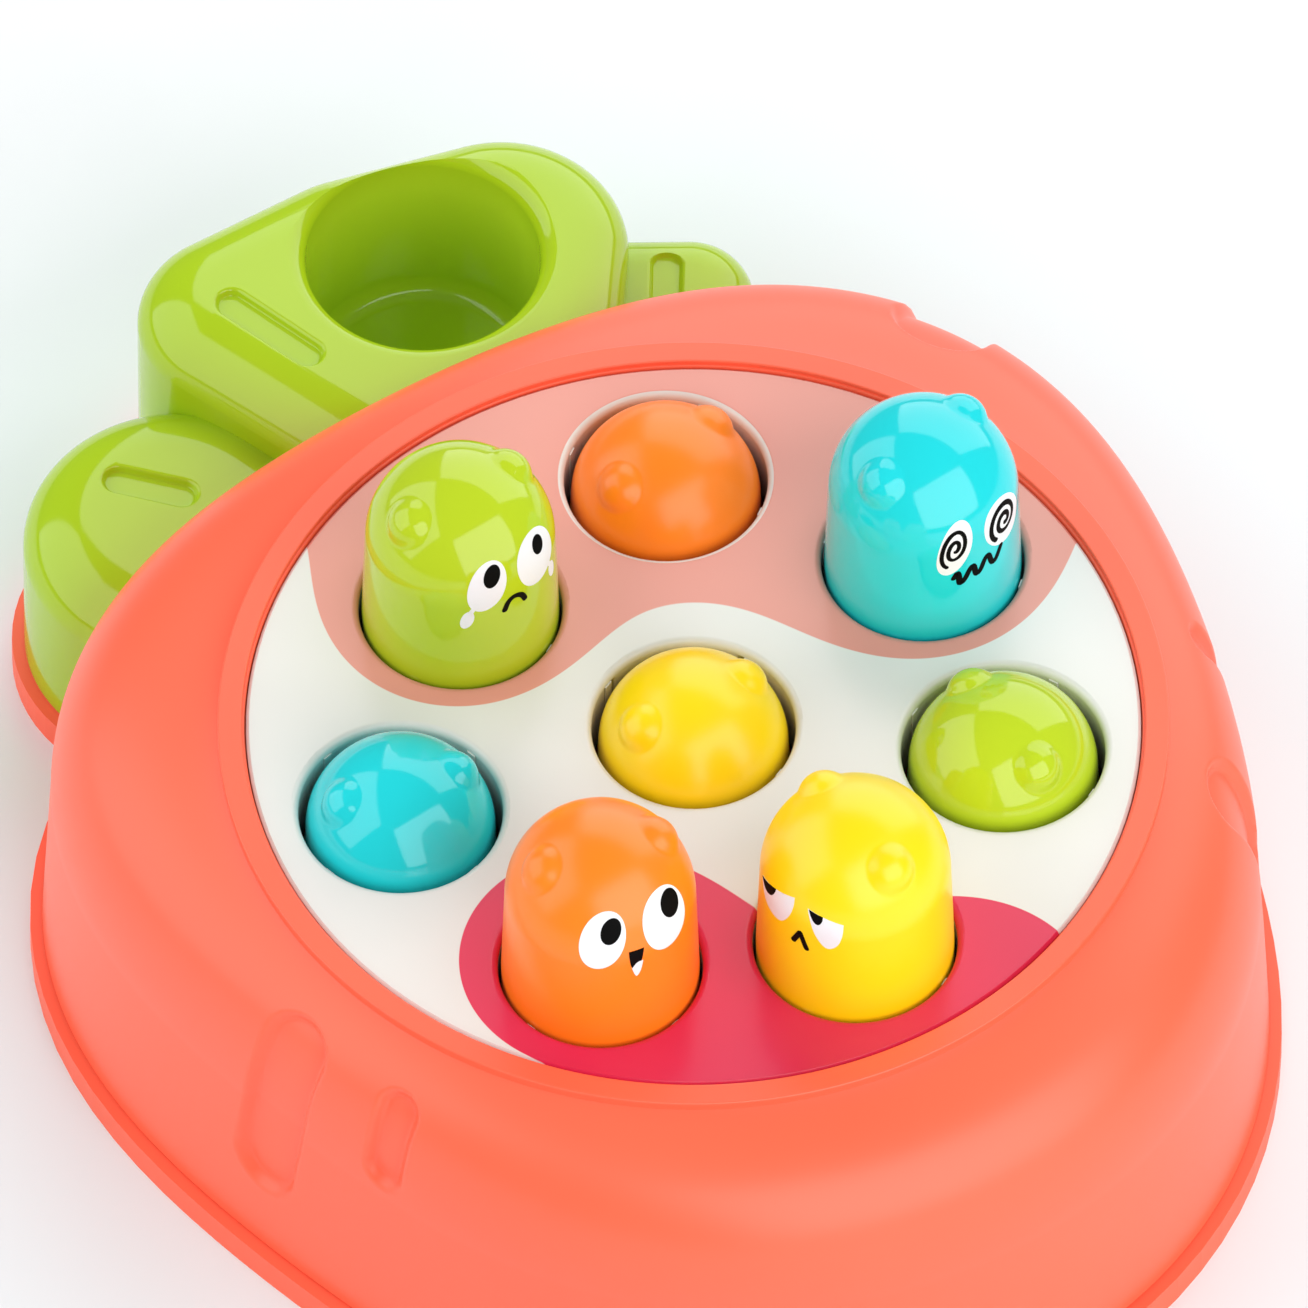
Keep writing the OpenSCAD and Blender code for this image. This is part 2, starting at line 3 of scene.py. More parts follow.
import bpy
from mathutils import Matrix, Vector


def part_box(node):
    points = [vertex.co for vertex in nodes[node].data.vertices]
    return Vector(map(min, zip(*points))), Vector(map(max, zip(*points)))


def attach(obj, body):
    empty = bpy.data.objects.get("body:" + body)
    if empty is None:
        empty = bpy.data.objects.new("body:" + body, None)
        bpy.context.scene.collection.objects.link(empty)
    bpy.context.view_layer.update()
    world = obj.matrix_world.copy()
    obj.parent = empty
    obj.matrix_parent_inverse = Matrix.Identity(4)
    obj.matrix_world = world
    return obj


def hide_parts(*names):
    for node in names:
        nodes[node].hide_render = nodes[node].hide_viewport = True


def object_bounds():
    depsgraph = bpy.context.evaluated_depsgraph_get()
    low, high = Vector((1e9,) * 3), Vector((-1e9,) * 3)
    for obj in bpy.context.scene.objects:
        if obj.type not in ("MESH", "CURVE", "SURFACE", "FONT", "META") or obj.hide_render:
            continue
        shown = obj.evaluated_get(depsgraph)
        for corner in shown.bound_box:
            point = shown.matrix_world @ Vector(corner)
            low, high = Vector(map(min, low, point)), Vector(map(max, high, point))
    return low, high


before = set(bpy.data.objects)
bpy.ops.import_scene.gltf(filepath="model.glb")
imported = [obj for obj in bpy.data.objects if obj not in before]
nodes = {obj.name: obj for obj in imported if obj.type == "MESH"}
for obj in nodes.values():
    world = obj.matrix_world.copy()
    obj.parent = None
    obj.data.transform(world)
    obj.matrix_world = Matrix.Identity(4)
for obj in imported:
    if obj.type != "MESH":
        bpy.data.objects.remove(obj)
cad_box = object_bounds()

# Base tray: the coral tray that the toy stands on, moulded in polypropylene. Its flange shows as a
# thin strip round the foot of the body and the leaves, and the screws come up through its floor.
MM = 0.001
CORAL = (255, 101, 70)
TRAY_EDGE = 0.7
CLOUD_SCALE = 22.0
GRAIN_SCALE = 1400.0
GRAIN_DEPTH = 0.05
PALER, DEEPER = 1.04, 0.95


class Wire:
    """A socket in a material's tree: sums on it add Math nodes, and add() brings in any other node."""

    def __init__(self, tree, socket=None):
        self.tree = tree
        self.socket = socket

    def add(self, kind, settings=None, sockets=None, output=0):
        node = self.tree.nodes.new(kind)
        for name, value in (settings or {}).items():
            setattr(node, name, value)
        for name, value in (sockets or {}).items():
            if isinstance(value, Wire):
                self.tree.links.new(value.socket, node.inputs[name])
            else:
                node.inputs[name].default_value = value
        return Wire(self.tree, node.outputs[output]) if node.outputs else None

    def sum(self, operation, *values):
        return self.add("ShaderNodeMath", {"operation": operation}, dict(enumerate(values)))

    def blend(self, share, first, second):
        return self.add("ShaderNodeMix", {"data_type": "RGBA"}, {0: share, 6: first, 7: second}, 2)

    def rise(self, low, high):
        return self.add("ShaderNodeMapRange", {"interpolation_type": "SMOOTHSTEP"},
                        {"Value": self, "From Min": low, "From Max": high})

    def __add__(self, other):
        return self.sum("ADD", self, other)

    def __radd__(self, other):
        return self.sum("ADD", other, self)

    def __sub__(self, other):
        return self.sum("SUBTRACT", self, other)

    def __rsub__(self, other):
        return self.sum("SUBTRACT", other, self)

    def __mul__(self, other):
        return self.sum("MULTIPLY", self, other)

    def __rmul__(self, other):
        return self.sum("MULTIPLY", other, self)


def screen(red, green, blue, dim=1.0):
    """A colour as a screen shows it, from 0 to 255, turned into light."""
    light = [value / 255 for value in (red, green, blue)]
    return tuple(dim * (v / 12.92 if v < 0.04045 else ((v + 0.055) / 1.055) ** 2.4) for v in light) + (1.0,)


def moulded(name, colour, roughness, drift=0.04, skin=0.02, metal=0.0, gleam=0.5, paint=None):
    """Moulded plastic: pigment that clouds a little, gloss that drifts, and a faint skin."""
    material = bpy.data.materials.new(name)
    material.use_nodes = True
    material.node_tree.nodes.clear()
    wire = Wire(material.node_tree)
    place = wire.add("ShaderNodeTexCoord", output="Object")
    cloud = wire.add("ShaderNodeTexNoise", sockets={"Vector": place, "Scale": CLOUD_SCALE, "Detail": 3.0})
    grain = wire.add("ShaderNodeTexNoise", sockets={"Vector": place, "Scale": GRAIN_SCALE, "Detail": 2.0})
    base = wire.blend(cloud, screen(*colour, dim=DEEPER), screen(*colour, dim=PALER))
    if paint:
        base = paint(place, base)
    normal = wire.add("ShaderNodeBump",
                      sockets={"Strength": skin, "Distance": GRAIN_DEPTH * MM, "Height": grain})
    shader = wire.add("ShaderNodeBsdfPrincipled", sockets={
        "Base Color": base, "Roughness": roughness + (cloud - 0.5) * drift, "Metallic": metal,
        "Specular IOR Level": gleam, "Normal": normal})
    wire.add("ShaderNodeOutputMaterial", sockets={"Surface": shader})
    return material


def dress(name, material):
    """Gives a carried-over CAD node its finish."""
    for place in nodes[name].material_slots:
        place.material = material


dress("base_tray", moulded("coral_matt_plastic", CORAL, 0.5))
tray_edges = nodes["base_tray"].modifiers.new("rounded_edges", "BEVEL")
tray_edges.width = TRAY_EDGE * MM
tray_edges.segments = 3
tray_edges.limit_method = "ANGLE"
tray_edges.angle_limit = math.radians(50)
tray_edges.harden_normals = True

# Rockers and axles: four white see-saw levers that each join two moles, moulded in acetal. They turn
# on plain steel axles pressed into the tray's posts.
inner_white = moulded("inner_white_plastic", (236, 236, 232), 0.45)
steel = moulded("bright_steel", (196, 198, 202), 0.28, drift=0.12, skin=0.05, metal=1.0)
for way in ("front", "right", "back", "left"):
    dress(f"rocker_{way}", inner_white)
dress("rocker_axles", steel)

# Stems and mole screws: under each mole a white stem with a stop flange and two slotted cheeks, which
# a rocker's studs run in. One steel screw goes up through the stem into the cap.
MOLES = {
    "front": ("yellow", -177, "grumpy"),
    "right_front": ("green", -178, None),
    "right": ("cyan", -74, "dizzy"),
    "back_right": ("orange", -80, None),
    "back_left": ("green", -87, "sad"),
    "left": ("cyan", -102, None),
    "left_front": ("orange", -101, "happy"),
    "centre": ("yellow", -91, None),
}
for mole in MOLES:
    dress(f"stem_{mole}", inner_white)
    dress(f"screw_{mole}", steel)

# Mole caps: hollow domes with two round ears, two of each colour, moulded in ABS. The green and cyan
# ones are polished, the others satin, and the four that stand up have a face printed on them.
CAP_SHOW = 16.3
DOME_RISE = 22.9
CAP_TAPER = 0.7
CAP_WALL = 1.8
EAR_R = 5.5
EAR_OUT = 2.2
EAR_LIFT = math.radians(47)
EAR_FILLET = 0.9
FOOT_ROUND = 0.5
CAP_TURNS = 216
DOME_STEPS = 90
INNER_STEPS = 10
CONE_STEPS = 8
PRINT_SINK = -0.15
WHITE_LIFT = 0.05
INK_LIFT = 0.1
TOOTH_LIFT = 0.15
CAP_FINISHES = {
    "green": moulded("green_gloss", (178, 202, 34), 0.1, drift=0.03, skin=0.008),
    "cyan": moulded("cyan_gloss", (30, 206, 212), 0.1, drift=0.03, skin=0.008),
    "orange": moulded("orange_satin", (255, 128, 26), 0.3),
    "yellow": moulded("yellow_satin", (250, 212, 10), 0.3),
}
print_white = moulded("white_print", (230, 232, 236), 0.45)
print_ink = moulded("black_print", (8, 8, 8), 0.6, gleam=0.05)


def skin(rings, start_tip=None, end_tip=None, run_closed=False):
    """Points and faces of a surface through closed rings, which a tip may close at either end."""
    count = len(rings[0])
    points = [point for ring in rings for point in ring]
    pairs = [(k, k + 1) for k in range(len(rings) - 1)] + ([(len(rings) - 1, 0)] if run_closed else [])
    faces = [(k * count + i, k * count + (i + 1) % count, n * count + (i + 1) % count, n * count + i)
             for k, n in pairs for i in range(count)]
    if start_tip:
        faces += [(len(points), (i + 1) % count, i) for i in range(count)]
        points.append(start_tip)
    if end_tip:
        last = (len(rings) - 1) * count
        faces += [(last + i, last + (i + 1) % count, len(points)) for i in range(count)]
        points.append(end_tip)
    return points, faces


def solid(name, parts, materials, sharp=35):
    """A mesh object, in metres, of one or more surfaces in millimetres, each with its material's number."""
    points, faces, finish = [], [], []
    for part_points, part_faces, number in parts:
        faces += [tuple(len(points) + i for i in face) for face in part_faces]
        finish += [number] * len(part_faces)
        points += [tuple(value * MM for value in point) for point in part_points]
    mesh = bpy.data.meshes.new(name)
    mesh.from_pydata(points, [], faces)
    for material in materials:
        mesh.materials.append(material)
    mesh.polygons.foreach_set("material_index", finish)
    mesh.shade_smooth()
    mesh.set_sharp_from_angle(angle=math.radians(sharp))
    piece = bpy.data.objects.new(name, mesh)
    bpy.context.scene.collection.objects.link(piece)
    return piece


class Cap:
    """The shape of one mole cap: where it stands, the way that it faces, and its dome."""

    def __init__(self, mole, face):
        low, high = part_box(f"cap_{mole}")
        self.foot = ((low[0] + high[0]) / 2 / MM, (low[1] + high[1]) / 2 / MM, low[2] / MM)
        self.radius = (high[0] - low[0]) / 2 / MM
        self.dome = self.radius - CAP_TAPER
        self.inner = self.dome - CAP_WALL
        self.equator = CAP_SHOW + DOME_RISE
        self.face = math.radians(face)

    def place(self, turn, reach, height):
        angle = self.face + turn
        return (self.foot[0] + reach * math.cos(angle), self.foot[1] + reach * math.sin(angle),
                self.foot[2] + height)

    def ring(self, reach, height):
        return [self.place(math.tau * i / CAP_TURNS, reach, height) for i in range(CAP_TURNS)]

    def with_ears(self, turn, lift):
        """Distance of the dome's skin from its middle, with the ears blended in."""
        reach = self.dome
        middle = self.dome + EAR_OUT - EAR_R
        for side in (-1, 1):
            near = (math.cos(lift) * math.cos(EAR_LIFT) * math.cos(turn - side * math.pi / 2)
                    + math.sin(lift) * math.sin(EAR_LIFT))
            across = middle * middle * (1 - near * near)
            ear = middle * near + math.sqrt(max(EAR_R * EAR_R - across, 0.0)) if near > 0 else 0.0
            blend = max(EAR_FILLET - abs(reach - ear), 0.0) / EAR_FILLET
            reach = max(reach, ear) + blend * blend * EAR_FILLET / 4
        return reach

    def dome_ring(self, lift):
        ring = []
        for i in range(CAP_TURNS):
            turn = math.tau * i / CAP_TURNS
            reach = self.with_ears(turn, lift)
            ring.append(self.place(turn, reach * math.cos(lift), self.equator + reach * math.sin(lift)))
        return ring

    def body(self):
        """The closed wall: down the inside, round the foot and up over the dome."""
        inside = [(self.inner * math.cos(a), self.equator + self.inner * math.sin(a))
                  for a in (math.pi / 2 * (1 - k / INNER_STEPS) for k in range(1, INNER_STEPS + 1))]
        foot = [(self.inner, 0.0), (self.radius - FOOT_ROUND, 0.0),
                (self.radius - FOOT_ROUND * 0.3, FOOT_ROUND * 0.3), (self.radius, FOOT_ROUND),
                (self.radius, CAP_SHOW * 0.9)]
        cone = [(self.radius - CAP_TAPER * k / CONE_STEPS, CAP_SHOW + DOME_RISE * k / CONE_STEPS)
                for k in range(CONE_STEPS + 1)]
        rings = [self.ring(*p) for p in inside + foot + cone]
        rings += [self.dome_ring(math.pi / 2 * k / DOME_STEPS) for k in range(1, DOME_STEPS)]
        return skin(rings, self.place(0, 0, self.equator + self.inner),
                    self.place(0, 0, self.equator + self.dome))

    def on_skin(self, side, across, along, lift):
        """A point of a print: mm across from a turn round the cap, and mm along from the dome's equator."""
        height = along / self.dome
        turn = side + across / (self.dome * math.cos(height))
        if height > 0:
            return self.place(turn, (self.dome + lift) * math.cos(height),
                              self.equator + (self.dome + lift) * math.sin(height))
        drop = -height * self.dome
        return self.place(turn, self.dome + lift + CAP_TAPER * drop / DOME_RISE, self.equator - drop)

    def blot(self, side, outline, lift):
        """A filled print inside an outline, which runs anticlockwise."""
        middle = [sum(p[k] for p in outline) / len(outline) for k in (0, 1)]
        rings = []
        for share, level in ((0.5, PRINT_SINK), (1.0, PRINT_SINK), (1.0, lift), (0.75, lift),
                             (0.5, lift), (0.25, lift)):
            rings.append([self.on_skin(side, middle[0] + share * (x - middle[0]),
                                       middle[1] + share * (y - middle[1]), level) for x, y in outline])
        return skin(rings, self.on_skin(side, *middle, PRINT_SINK), self.on_skin(side, *middle, lift))

    def stroke(self, side, path, half, lift):
        """A printed line of even width along a path, with round ends."""
        ahead = [(path[min(i + 1, len(path) - 1)], path[max(i - 1, 0)]) for i in range(len(path))]
        ways = []
        for after, before in ahead:
            length = math.dist(after, before)
            ways.append(((after[0] - before[0]) / length, (after[1] - before[1]) / length))
        stops = [(path[0], ways[0], -0.95, 0.3), (path[0], ways[0], -0.6, 0.8)]
        stops += [(point, way, 0.0, 1.0) for point, way in zip(path, ways)]
        stops += [(path[-1], ways[-1], 0.6, 0.8), (path[-1], ways[-1], 0.95, 0.3)]
        rings = []
        for (x, y), (wx, wy), ahead_share, wide in stops:
            x, y = x + wx * ahead_share * half, y + wy * ahead_share * half
            ox, oy = -wy * wide * half, wx * wide * half
            corners = ((1, lift), (1, PRINT_SINK), (-1, PRINT_SINK), (-1, lift))
            rings.append([self.on_skin(side, x + hand * ox, y + hand * oy, level)
                          for hand, level in corners])
        points, faces = skin(rings)
        count = len(points)
        return points, faces + [(3, 2, 1, 0), (count - 4, count - 3, count - 2, count - 1)]


def oval(width, height, x=0.0, y=0.0, lean=0.0, steps=48):
    """An outline round an oval, of half width and half height, that leans to one side."""
    outline = []
    for i in range(steps):
        a = math.tau * i / steps
        px, py = width * math.cos(a), height * math.sin(a)
        outline.append((x + px * math.cos(lean) - py * math.sin(lean),
                        y + px * math.sin(lean) + py * math.cos(lean)))
    return outline


def smooth(points, closed=True, rounds=3):
    """Cuts a path's corners until it is round; a corner that is listed twice stays sharp."""
    for _ in range(rounds):
        pairs = zip(points, points[1:] + points[:1] if closed else points[1:])
        cut = [(a[0] + s * (b[0] - a[0]), a[1] + s * (b[1] - a[1])) for a, b in pairs for s in (0.25, 0.75)]
        points = cut if closed else points[:1] + cut + points[-1:]
    return [point for point, before in zip(points, points[-1:] + points[:-1]) if point != before]


# Faces: each print is placed by its turn from the cap's front, and by sizes in mm across the skin and up
# from the dome's equator
def happy(cap):
    middle, apart, up, lean = math.radians(4.75), math.radians(23.5), 7.1, math.radians(-15)
    whites, inks = [], []
    for side, wide in ((-1, 1.0), (1, 1.28)):
        eye = middle + side * apart
        whites.append(cap.blot(eye, oval(4.5 * wide, 6.9, 0.0, up, lean), WHITE_LIFT))
        inks.append(cap.blot(eye, oval(2.0 * wide, 2.9, 1.7 * wide, up + 2.4, lean), INK_LIFT))
    mouth = [(-2.3, 4.0), (-2.3, 4.0), (-2.3, 1.5), (-1.85, -1.2), (-0.8, -1.2), (0.2, 0.6),
             (0.9, 4.0), (0.9, 4.0)]
    tooth = [(-1.9, -0.9), (-1.9, -0.9), (-1.2, -3.4), (-0.8, -3.6), (0.0, -2.1), (0.5, 0.7),
             (0.5, 0.7), (-0.8, 0.8)]
    inks.append(cap.blot(middle, smooth(mouth), INK_LIFT))
    whites.append(cap.blot(middle, smooth(tooth), TOOTH_LIFT))
    return whites, inks


def sad(cap):
    middle, apart, up, lean = math.radians(3.75), math.radians(20.4), 5.3, math.radians(-20)
    whites, inks = [], []
    for side, wide in ((-1, 1.0), (1, 1.5)):
        eye = middle + side * apart
        whites.append(cap.blot(eye, oval(3.9 * wide, 6.2, 0.0, up, lean), WHITE_LIFT))
        inks.append(cap.blot(eye, oval(1.7, 2.6 / wide ** 0.6, 1.2, up + 2.5, lean), INK_LIFT))
        neck = [(side * 2.4, up - 3.9), (side * 3.3, up - 5.4), (side * 3.9, up - 6.6)]
        whites.append(cap.stroke(eye, neck, 0.5, WHITE_LIFT))
        whites.append(cap.blot(eye, oval(1.3, 2.6, side * 4.3, up - 8.2, side * 0.2), WHITE_LIFT))
    arch = [(-3.3, -2.4), (-2.6, -0.3), (-1.4, 0.6), (-0.2, 0.4), (0.9, -0.5), (1.5, -2.2)]
    inks.append(cap.stroke(middle, smooth(arch, closed=False), 0.62, INK_LIFT))
    return whites, inks


def dizzy(cap):
    middle = math.radians(-4.5)
    circuits, steps, tightening, spiral_up = 1.9, 60, 0.85, 0.4
    whites, inks = [], []
    # Eyes: turn, height, half width, half height and lean of the white, then half width, half height and
    # start of the spiral on it, and half the width of its line
    eyes = [(-27.6, 2.4, 3.45, 7.15, -16.6, 2.8, 5.25, -98, 0.44),
            (11.5, 2.0, 5.6, 6.4, 40.4, 4.6, 4.5, -173, 0.56)]
    for degrees, up, width, height, lean_degrees, coil_width, coil_height, start, half in eyes:
        eye, lean = math.radians(degrees), math.radians(lean_degrees)
        whites.append(cap.blot(eye, oval(width, height, 0.0, up, lean), WHITE_LIFT))
        spiral = []
        for k in range(steps + 1):
            turn = math.radians(start) - math.tau * circuits * k / steps
            reach = 1 - tightening * k / steps
            x, y = coil_width * reach * math.cos(turn), coil_height * reach * math.sin(turn)
            spiral.append((x * math.cos(lean) - y * math.sin(lean),
                           up + spiral_up + x * math.sin(lean) + y * math.cos(lean)))
        inks.append(cap.stroke(eye, spiral, half, INK_LIFT))
    wave = [(-7.6, -6.0), (-6.9, -4.0), (-6.0, -9.6), (-3.75, -2.5), (-2.8, -8.9), (-0.2, -1.9),
            (0.9, -8.2), (3.5, -3.9)]
    inks.append(cap.stroke(middle, smooth(wave, closed=False), 0.6, INK_LIFT))
    return whites, inks


def grumpy(cap):
    middle = math.radians(19)
    left = [(-13.3, 3.0), (-13.3, 3.0), (-12.2, 1.1), (-10.7, -1.0), (-8.7, -1.8), (-6.0, -2.0),
            (-4.1, -1.0), (-2.3, 2.3), (-1.7, 5.2), (-2.0, 7.4), (-2.0, 7.4)]
    left_pupil = [(-13.2, 3.0), (-13.2, 3.0), (-11.0, 1.8), (-9.0, 2.2), (-7.9, 3.1), (-7.2, 4.6),
                  (-7.2, 5.4), (-7.2, 5.4)]
    right = [(1.4, 6.9), (1.4, 6.9), (2.7, 3.7), (4.05, 0.5), (5.7, -2.1), (7.2, -2.2), (8.8, -0.5),
             (9.5, 2.7), (9.25, 5.3), (9.25, 5.3)]
    right_pupil = [(1.7, 6.8), (1.7, 6.8), (2.4, 5.4), (3.5, 4.0), (4.4, 3.9), (5.0, 5.0),
                   (4.9, 6.2), (4.9, 6.2)]
    whites = [cap.blot(middle, smooth(eye), WHITE_LIFT) for eye in (left, right)]
    inks = [cap.blot(middle, smooth(pupil), INK_LIFT) for pupil in (left_pupil, right_pupil)]
    frown = [(-1.0, -3.9), (0.5, -0.5), (0.5, -0.5), (2.0, -4.5)]
    inks.append(cap.stroke(middle, smooth(frown, closed=False), 0.58, INK_LIFT))
    return whites, inks


FACES = {"happy": happy, "sad": sad, "dizzy": dizzy, "grumpy": grumpy}
for mole, (colour, face, look) in MOLES.items():
    cap = Cap(mole, face)
    parts = [(*cap.body(), 0)]
    if look:
        whites, inks = FACES[look](cap)
        parts += [(*print_part, 1) for print_part in whites] + [(*print_part, 2) for print_part in inks]
    piece = solid(f"mole_cap_{mole}", parts, [CAP_FINISHES[colour], print_white, print_ink])
    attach(piece, f"mole_{mole}")
    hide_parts(f"cap_{mole}")

# Play panel: a round white plate of satin ABS with a guide tube under each hole, dropped into the seat
# of the shell. Two fields of colour with smooth outlines are printed on its top face.
VIEW_TURN = math.radians(31.2)
PINK = (220, 147, 133)
CRIMSON = (212, 38, 78)
# Each field is a few discs: across, along and radius, as the camera sees the plate, and the width over
# which a disc flows into those before it
PINK_FIELD = [(-47.2, 29.2, 24.1, 0.0), (-2.3, 184.2, 144.3, 67.9), (45.2, 41.4, 22.8, 67.9)]
CRIMSON_FIELD = [(-19.6, -58.0, 26.6, 0.0), (54.1, -68.2, 24.5, 84.6), (1.5, -119.0, 46.5, 2.0)]
HOLE_R = 20.2
HOLE_ROUND = 1.5
PRINT_EDGE = 0.1
PRINT_OVERLAP = 0.3


def panel_prints(place, base):
    """The two printed fields, kept clear of the rounded edges of the holes whose moles are down."""
    axes = place.add("ShaderNodeSeparateXYZ", sockets={0: place})
    x, y = axes, Wire(axes.tree, axes.socket.node.outputs[1])
    z = Wire(axes.tree, axes.socket.node.outputs[2])
    across = (x * math.cos(VIEW_TURN) - y * math.sin(VIEW_TURN)) * (1 / MM)
    along = (x * math.sin(VIEW_TURN) + y * math.cos(VIEW_TURN)) * (1 / MM)

    def from_disc(first, second, disc):
        dx, dy = first - disc[0], second - disc[1]
        return x.sum("SQRT", dx * dx + dy * dy) - disc[2]

    def field(discs):
        shape = from_disc(across, along, discs[0])
        for disc in discs[1:]:
            shape = shape.sum("SMOOTH_MIN", shape, from_disc(across, along, disc), disc[3])
        return 1 - shape.rise(-PRINT_EDGE, PRINT_EDGE)

    clear = z.rise((panel_top - HOLE_ROUND) * MM, (panel_top - HOLE_ROUND + PRINT_EDGE) * MM)
    for mole in [name for name, (colour, face, look) in MOLES.items() if not look]:
        low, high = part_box(f"cap_{mole}")
        middle = [(low[k] + high[k]) / 2 / MM for k in (0, 1)]
        gap = from_disc(x * (1 / MM), y * (1 / MM), (*middle, HOLE_R + HOLE_ROUND - PRINT_OVERLAP))
        clear = clear * gap.rise(-PRINT_EDGE, PRINT_EDGE)
    pink = base.blend(field(PINK_FIELD) * clear, base, screen(*PINK))
    return base.blend(field(CRIMSON_FIELD) * clear, pink, screen(*CRIMSON))


panel_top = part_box("play_panel")[1][2] / MM
dress("play_panel", moulded("white_satin", (221, 220, 215), 0.22, drift=0.05, paint=panel_prints))

# Top shell: the coral body, one hollow moulding with three soft corners. A flat raised rim holds the play
# panel, and smooth pockets run down its flanks. Screws from below clamp it to the tray.
RIM_R = 94.0
RIM_Z = 83.0
RIM_STEP = 2.0
RIM_EDGE = 0.3
BODY_MARGIN = 26.2
PLAN = (-2.5, 2.6, 6.5, -3.3)
WALL_Z = 48.0
WALL_DRAFT = 2.0
FLANGE_H = 7.0
SHELL_EDGE = 0.8
FOOT_GAP = 0.8
FOOT_STEP = 2.2
SHOULDER_RISE = 28.0
SHOULDER_SWELL = 3.0
COLLAR_RUN = 9.0
COLLAR_DROP = 4.5
SEAT_WALL_R = 88.7
SEAT_R = 84.7
SEAT_Z = 79.0
LEDGE_W = 0.5
LEDGE_Z = 82.0
SHELL_WALL = 3.0
# Pockets: degrees from the front, half width, the ends of the run up the flank, where -1 is the foot of
# the wall, 0 its top and 1 the foot of the rim, how much the pocket narrows towards its lower end, and
# how far that end lies to one side
POCKETS = [(281, 8.4, -0.6, 0.69, 0.0, -4.6), (295.3, 5.2, 0.03, 0.65, 0.0, -1.2),
           (124, 11.0, -0.4, 0.62, 0.2, 0.0), (74, 4.6, 0.03, 0.68, 0.1, 0.0),
           (53.5, 8.0, -0.3, 0.72, 0.3, 0.0)]
POCKET_DEPTH = 2.2
POCKET_SIDE = 2.2
WALL_STEPS = 60
SHOULDER_STEPS = 84
INSIDE_STEPS = 6
EDGE_STEPS = 4
TINY = 0.1
# Sections stand one degree apart, and closer together across a pocket
STEPS_A_DEGREE = 20
POCKET_STEP = 6
POCKET_SPARE = 1.5
POCKET_REACH = 105


def wall_reach(angle):
    """Distance of the wall's foot from the middle, at an angle from the front."""
    return RIM_R + BODY_MARGIN + sum(size * math.cos((k + 1) * angle) for k, size in enumerate(PLAN))


def in_plan(reach, angle, height):
    return (reach * math.sin(angle), -reach * math.cos(angle), height)


def flank(angle, run):
    """Place and outward way of the skin, up the wall from -1 to 0 and over the shoulder to 1."""
    top = wall_reach(angle) - WALL_DRAFT
    foot = FLANGE_H + SHELL_EDGE
    if run < 0:
        way = Vector((-WALL_DRAFT, WALL_Z - foot))
        place = Vector((top, WALL_Z)) + run * way
    else:
        rise = SHOULDER_RISE + SHOULDER_SWELL * math.cos(3 * angle)
        ends = [Vector((top, WALL_Z)), Vector((top, WALL_Z + rise)),
                Vector((RIM_R + COLLAR_RUN, RIM_Z - RIM_STEP - COLLAR_DROP)),
                Vector((RIM_R, RIM_Z - RIM_STEP))]
        back = 1 - run
        place = (back ** 3 * ends[0] + 3 * back * back * run * ends[1]
                 + 3 * back * run * run * ends[2] + run ** 3 * ends[3])
        way = (back * back * (ends[1] - ends[0]) + 2 * back * run * (ends[2] - ends[1])
               + run * run * (ends[3] - ends[2]))
    way.normalize()
    return place, Vector((way[1], -way[0]))


RUNS = [k / WALL_STEPS - 1 for k in range(WALL_STEPS)]
RUNS += [k / SHOULDER_STEPS for k in range(SHOULDER_STEPS + 1)]


def run_length(angle, upto):
    """Length of the skin from the foot of the wall up to each of the runs asked for."""
    lengths, total, before = {}, 0.0, None
    for run in RUNS:
        place = flank(angle, run)[0]
        total += (place - before).length if before else 0.0
        before = place
        lengths[run] = total
    return [min(lengths.items(), key=lambda item: abs(item[0] - run))[1] for run in upto]


pocket_runs = []
for degrees, half, low, high, narrowing, lean in POCKETS:
    start, end = run_length(math.radians(degrees), (low, high))
    pocket_runs.append((math.radians(degrees), half, start + half, end - half, narrowing, lean))


def pocket_depth(angle, reach, length):
    """How deep the pockets go at a place on the skin: flat floors with soft sides."""
    depth = 0.0
    for middle, half, start, end, narrowing, lean in pocket_runs:
        down = min(max((end - length) / (end - start), 0.0), 1.0)
        across = ((angle - middle + math.pi) % math.tau - math.pi) * reach - lean * down
        across /= 1 - narrowing * down
        beyond = max(start - length, length - end, 0.0)
        inside = min(max((half - math.hypot(across, beyond)) / POCKET_SIDE, 0.0), 1.0)
        depth += POCKET_DEPTH * inside * inside * (3 - 2 * inside)
    return depth


